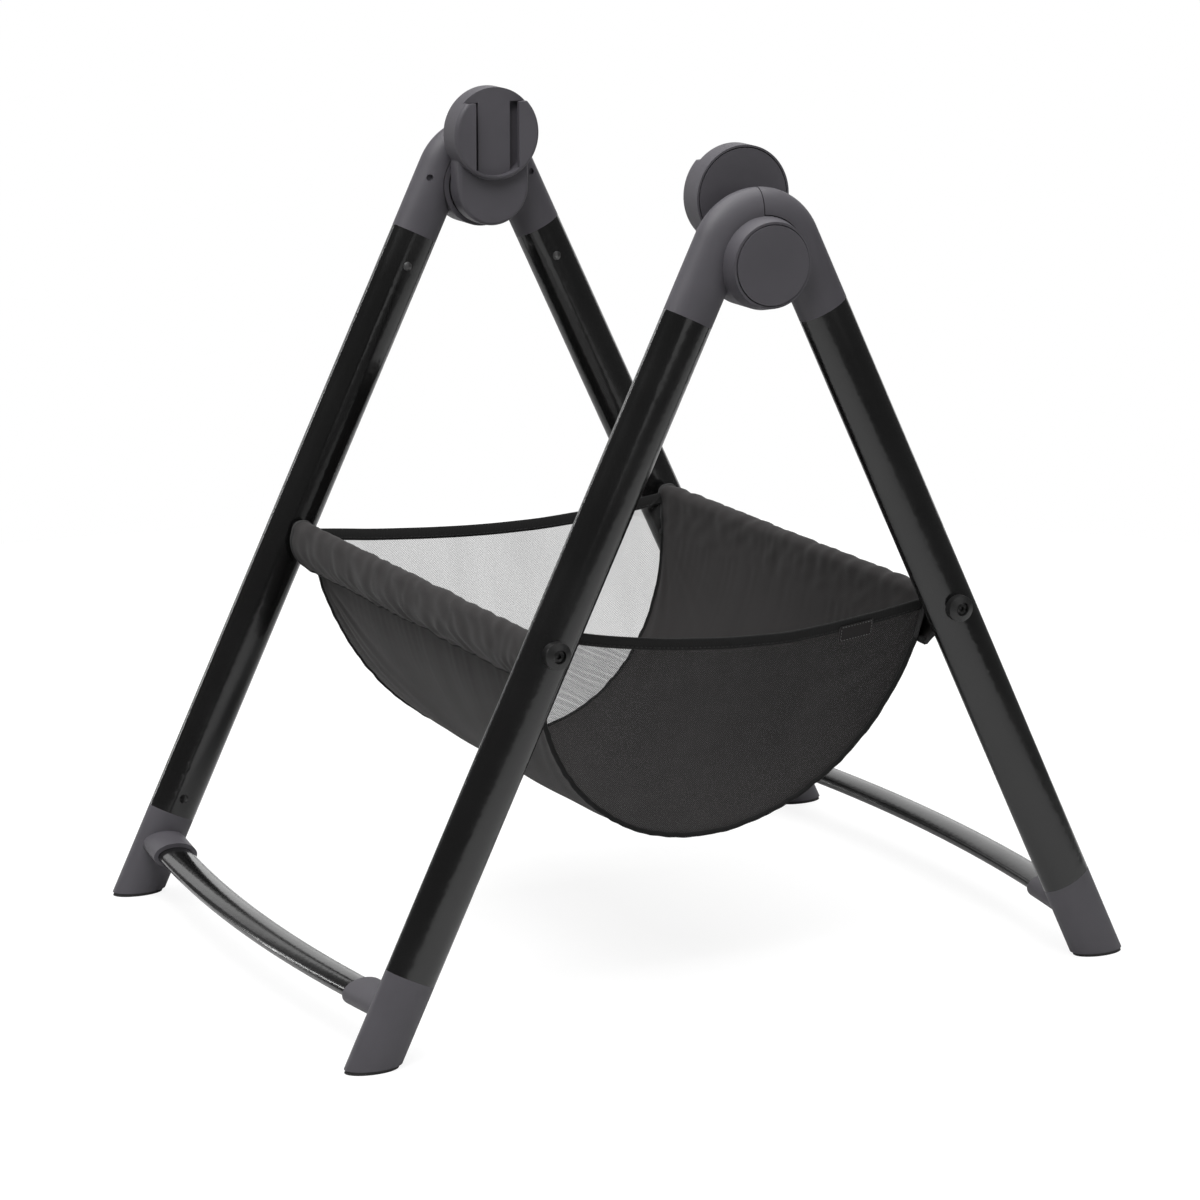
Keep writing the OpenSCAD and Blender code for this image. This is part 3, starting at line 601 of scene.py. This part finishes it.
sewing, hems = [], []
alongHem = [2 * c / columns - 1 for c in range(columns + 1)]
for half, row in (("Front", 0), ("Rear", len(section) - 1)):
    out = Vector((0, -1 if half == "Front" else 1, -0.15)).normalized()
    line = [clothPoint(row, u) + Vector((0, 0, trim["hemHeight"] * 0.25)) for u in alongHem]
    outline = softRect(trim["hemThickness"], trim["hemHeight"], trim["corner"])
    hems.append(sweep(f"flapHem{half}", line, outline, "binding", [Vector((0, 0, 1))] * len(line)))
    on = [p + out * (trim["hemThickness"] / 2) + Vector((0, 0, trim["stitchUp"])) for p in line]
    sewing.append(stitches(f"hemStitches{half}", on, [out] * len(on), "thread", hemStitch))
print("seams sewn")


# end panels of net with bound top edges; -1 is the left end and 1 the right one
panel = {"inset": 0.0012, "bulge": 0.004, "fold": 0.0030, "cornerFold": 0.0032, "rows": 44, "columns": 120}
topEdge = {
    -1: {"sag": 0.0118, "lowest": 0.018, "frontRise": 0.0, "bow": 1.7},
    1: {"sag": 0.0168, "lowest": 0.040, "frontRise": 0.013, "bow": 1.55},
}
binding = {"height": 0.0105, "thickness": 0.0026, "corner": 0.0011, "overlap": 0.001, "stitchUp": 0.0022,
           "steps": 120}
panelReach = halfY - panel["inset"]


def topDrop(side, y):
    # how far the panel's top edge hangs below the rods
    edge = topEdge[side]
    span = (panelReach + edge["lowest"]) if y < edge["lowest"] else (panelReach - edge["lowest"])
    share = min(1.0, abs(y - edge["lowest"]) / span)
    rise = edge["frontRise"] * share ** 3 if y < edge["lowest"] else 0.0
    return edge["sag"] * (1 - share ** edge["bow"]) - rise + 0.0005 * wave(y / 0.04, 2.0 + side, 7.7)


def panelPoint(side, y, share):
    # share runs from the top edge down to the arc
    low = slingDepth(y) - 0.001
    high = min(topDrop(side, y) + 0.001, low)
    z = high + (low - high) * share
    x = halfLength(z) - panel["inset"]
    belly = math.sin(math.pi * min(1, share)) * math.cos(math.pi * y / (2.2 * basket["rodY"]))
    x -= panel["bulge"] * belly
    fold = wave((y + z * 0.35) / 0.042, z / 0.20, 5.0 + side)
    fold += 0.45 * wave((y - z * 0.5) / 0.017, z / 0.12, 9.0 + side)
    x += panel["fold"] * belly * fold
    corner = math.exp(-math.hypot(y - panelReach, z - 0.02) / 0.06) * ease(share, 0.0, 0.12)
    x += panel["cornerFold"] * corner * math.sin(math.atan2(z, panelReach + 0.004 - y) * 9)
    return Vector((side * x, y, basket["rodZ"] - z))


def makePanel(side, word):
    points, weave = [], []
    for r in range(panel["rows"] + 1):
        for c in range(panel["columns"] + 1):
            y = panelReach * math.sin(math.pi / 2 * (2 * c / panel["columns"] - 1))
            here = panelPoint(side, y, r / panel["rows"])
            points.append(here)
            weave.append((here.y, here.z, 0))
    faces = gridFaces(panel["rows"] + 1, panel["columns"] + 1)
    return newPiece(f"netPanel{word}", points, faces, "mesh", weave)


def makeBinding(side, word):
    path, ups = [], []
    reach = panelReach + 0.0005
    up = Vector((side * basket["lean"] / basket["depth"], 0, 1)).normalized()
    below = up * (binding["height"] / 2 - binding["overlap"])
    for k in range(binding["steps"] + 1):
        y = reach * (2 * k / binding["steps"] - 1)
        drop = topDrop(side, y)
        path.append(Vector((side * (halfLength(drop) - panel["inset"]), y, basket["rodZ"] - drop)) - below)
        ups.append(up)
    outline = softRect(binding["thickness"], binding["height"], binding["corner"])
    tape = sweep(f"panelBinding{word}", path, outline, "binding", ups)
    sewn = []
    for face, tail in ((1, "Outer"), (-1, "Inner")):
        lift = binding["height"] / 2 - binding["stitchUp"]
        line = [p - up * lift + Vector((side * face * binding["thickness"] / 2, 0, 0)) for p in path]
        facing = [Vector((side * face, 0, 0.1))] * len(line)
        sewn.append(stitches(f"bindingStitches{tail}{word}", line, facing, "thread", hemStitch))
    return tape, sewn


panels, tapes, tapeSewing = {}, {}, {}
for side, word in ((-1, "Left"), (1, "Right")):
    panels[side] = makePanel(side, word)
    tapes[side], tapeSewing[side] = makeBinding(side, word)
print("end panels made")


# blank woven tag on the right end
tag = {"y": 0.112, "width": 0.030, "height": 0.0135, "thickness": 0.0009, "drop": 0.0045, "lift": 0.0008,
       "curl": 0.0012, "bow": 0.0004, "rows": 14, "columns": 24}


def makeTag():
    points, weave = [], []
    rows, cols = tag["rows"], tag["columns"]
    for r in range(rows + 1):
        for c in range(cols + 1):
            y = tag["y"] + tag["width"] * (c / cols - 0.5)
            share = r / rows
            drop = topDrop(1, y) + tag["drop"] + tag["height"] * share
            x = halfLength(drop) - panel["inset"] + binding["thickness"] / 2 + tag["lift"]
            x += tag["curl"] * share * share + tag["bow"] * math.sin(math.pi * c / cols)
            points.append(Vector((x, y, basket["rodZ"] - drop)))
            weave.append((y, drop, 0))
    piece = newPiece("blankTag", points, gridFaces(rows + 1, cols + 1), "tag", weave)
    piece = thicken(piece, tag["thickness"])
    line, normals = [], []
    for y, drop in ((-0.44, 0.10), (0.44, 0.10), (0.44, 0.9), (-0.44, 0.9), (-0.44, 0.10)):
        r, c = drop * rows, (y + 0.5) * cols
        line.append(points[int(round(r)) * (cols + 1) + int(round(c))] + Vector((tag["thickness"] / 2, 0, 0)))
        normals.append(Vector((1, 0, 0.2)))
    return piece, stitches("tagStitches", line, normals, "tagThread", tagStitch)


tagPiece, tagSewing = makeTag()
print("tag made")


# the basket's pieces, each listed with a slot name, hang between the two frames; their placing is baked into their
# meshes
soft = [(cloth, "cloth"), (tagPiece, "tag"), (tagSewing, "tag")]
soft += [(p, "cloth") for p in sewing + hems]
for side in (-1, 1):
    soft += [(panels[side], "mesh"), (tapes[side], "cloth")]
    soft += [(p, "cloth") for p in edgeTrims[side] + tapeSewing[side]]
for piece, slot in soft:
    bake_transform(piece)
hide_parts("basket_sling")
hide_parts("basket_tag")
for side, word in ((-1, "left"), (1, "right")):
    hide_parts(f"basket_panel_{word}")
    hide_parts(f"basket_binding_{word}")

clothStep, clothArea = sectionAt[1] - sectionAt[0], 0.0
for r in range(len(section) - 1):
    onFlap = min(r, len(section) - 1 - r) < overRow
    clothArea += 2 * (basket["halfX"] if onFlap else halfLength(section[r, 1])) * clothStep
panelHeight, slices = math.hypot(basket["depth"], basket["lean"]), 200
for side in (-1, 1):
    panelArea = 0.0
    for k in range(slices):
        y = (2 * k + 1) / slices * panelReach - panelReach
        deep = max(0.0, slingDepth(y) - topDrop(side, y))
        panelArea += deep * 2 * panelReach / slices * panelHeight / basket["depth"]
    [tapes[side]] + tapeSewing[side] + ([tagPiece, tagSewing] if side == 1 else [])


# springs behind the lock buttons, each carried by its button
spring = {"turns": 4, "steps": 24, "wire": 0.0009}


def makeSpring(word):
    low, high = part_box(f"lock_spring_{word}")
    wire, radius = spring["wire"], (high.y - low.y) / 2 - spring["wire"]
    hubZ, length = (low.z + high.z) / 2, high.x - low.x
    count, path = spring["turns"] * spring["steps"], []
    for k in range(count + 1):
        a = 2 * math.pi * k / spring["steps"]
        x = low.x + wire + (length - 2 * wire) * k / count
        path.append(Vector((x, radius * math.sin(a), hubZ + radius * math.cos(a))))
    facing = [Vector((1, 0, 0))] * len(path)
    coil = sweep(f"lockSpring{word.capitalize()}", path, ring(wire, 8), "steel", facing)
    joint = next(j for j in frame["record"]["behaviour"]["joints"] if j["name"] == f"press_button_{word}")
    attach(coil, f"lock_button_{word}")
    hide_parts(f"lock_spring_{word}")
    1 - joint["range_m"][1] / length
    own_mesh(coil)


makeSpring("left")
makeSpring("right")
print("lock springs made")


# floor, lights and camera; dim is the room that the object mirrors, glow and shadow are the floor as seen
studio = {"floor": 0.62, "floorReach": 1.7, "world": 1.0, "dim": 0.13, "glow": 0.86, "shadow": 0.17}


def makeFloor():
    mesh = bpy.data.meshes.new("floor")
    reach, corners = studio["floorReach"], 96
    rim = [(reach * math.cos(a), reach * math.sin(a), 0)
           for a in np.linspace(0, 2 * math.pi, corners, endpoint=False)]
    mesh.from_pydata(rim, [], [tuple(range(len(rim)))])
    floor = bpy.data.objects.new("floor", mesh)
    bpy.context.scene.collection.objects.link(floor)
    f = Finish("studioFloor", Roughness=0.9, Specular_IOR_Level=0.1)
    cloud = f.noise(f.place(), 0.8, 2)
    f.feed("Base Color", f.blend(cloud, grey(studio["floor"]), grey(studio["floor"] + 0.02)))
    # what the camera sees is a paler floor with a fainter shadow than the one that lights the object
    seen = f.add("ShaderNodeBsdfPrincipled", {}, {"Base Color": grey(studio["shadow"]), "Roughness": 0.9,
                                                  "Emission Color": (1, 1, 1, 1), "Emission Strength": studio["glow"]})
    shown = f.add("ShaderNodeMixShader", {}, {0: f.out(f.add("ShaderNodeLightPath"), "Is Camera Ray"),
                                              1: f.out(f.shader, "BSDF"), 2: f.out(seen, "BSDF")})
    f.tree.links.new(shown.outputs[0], f.tree.nodes["Material Output"].inputs["Surface"])
    mesh.materials.append(f.material)


def areaLight(name, place, aim, size, power):
    data = bpy.data.lights.new(name, "AREA")
    data.shape, data.size, data.size_y, data.energy = "RECTANGLE", size[0], size[1], power
    light = bpy.data.objects.new(name, data)
    light.location = place
    light.visible_camera = False
    light.rotation_euler = (Vector(aim) - Vector(place)).to_track_quat("-Z", "Y").to_euler()
    bpy.context.scene.collection.objects.link(light)


view = {"azimuth": 63.58, "elevation": 13.17, "distance": 3.5875, "aimZ": 0.35, "across": -0.0056, "up": -0.0602,
        "lens": 125.88, "sensor": 36.0}
turn, tilt = math.radians(view["azimuth"]), math.radians(view["elevation"])
back = Vector((math.sin(turn) * math.cos(tilt), -math.cos(turn) * math.cos(tilt), math.sin(tilt)))
across = Vector((math.cos(turn), math.sin(turn), 0))
upward = back.cross(across)
middle = Vector((0, 0, view["aimZ"])) + across * view["across"] + upward * view["up"]

makeFloor()


def makeWorld():
    # the camera sees a white studio; the object is lit and mirrored by a dimmer room
    world = bpy.data.worlds.new("studio")
    world.use_nodes = True
    nodes, links = world.node_tree.nodes, world.node_tree.links
    seen = nodes["Background"]
    seen.inputs["Color"].default_value = (1, 1, 1, 1)
    seen.inputs["Strength"].default_value = studio["world"]
    room = nodes.new("ShaderNodeBackground")
    room.inputs["Color"].default_value = (1, 1, 1, 1)
    room.inputs["Strength"].default_value = studio["dim"]
    mix, ray = nodes.new("ShaderNodeMixShader"), nodes.new("ShaderNodeLightPath")
    links.new(ray.outputs["Is Camera Ray"], mix.inputs[0])
    links.new(room.outputs[0], mix.inputs[1])
    links.new(seen.outputs[0], mix.inputs[2])
    links.new(mix.outputs[0], nodes["World Output"].inputs["Surface"])
    bpy.context.scene.world = world


makeWorld()
ahead = Vector((back.x, back.y, 0)).normalized()
# each light's place in metres along ahead, across and up, then its size and power
lamps = {
    "key": (1.6, -0.7, 2.3, (1.5, 1.5), 52),
    "fill": (2.0, 2.0, 0.9, (1.8, 1.8), 8),
    "edge": (-1.0, -2.2, 0.5, (0.08, 2.2), 9),
    "wall": (-2.8, 0.0, 0.7, (5.0, 1.8), 28),
}
areaLight("overhead", (0, 0, 2.7), (0, 0, 0), (3.0, 3.0), 96)
for name, (near, right, high, size, power) in lamps.items():
    areaLight(name, middle + ahead * near + across * right + Vector((0, 0, high)), middle, size, power)

cameraData = bpy.data.cameras.new("camera")
cameraData.lens, cameraData.sensor_width = view["lens"], view["sensor"]
camera = bpy.data.objects.new("camera", cameraData)
camera.location = middle + back * view["distance"]
camera.rotation_euler = (-back).to_track_quat("-Z", "Y").to_euler()
bpy.context.scene.collection.objects.link(camera)
bpy.context.scene.camera = camera
bpy.context.scene.view_settings.view_transform = "Standard"
print("studio set")
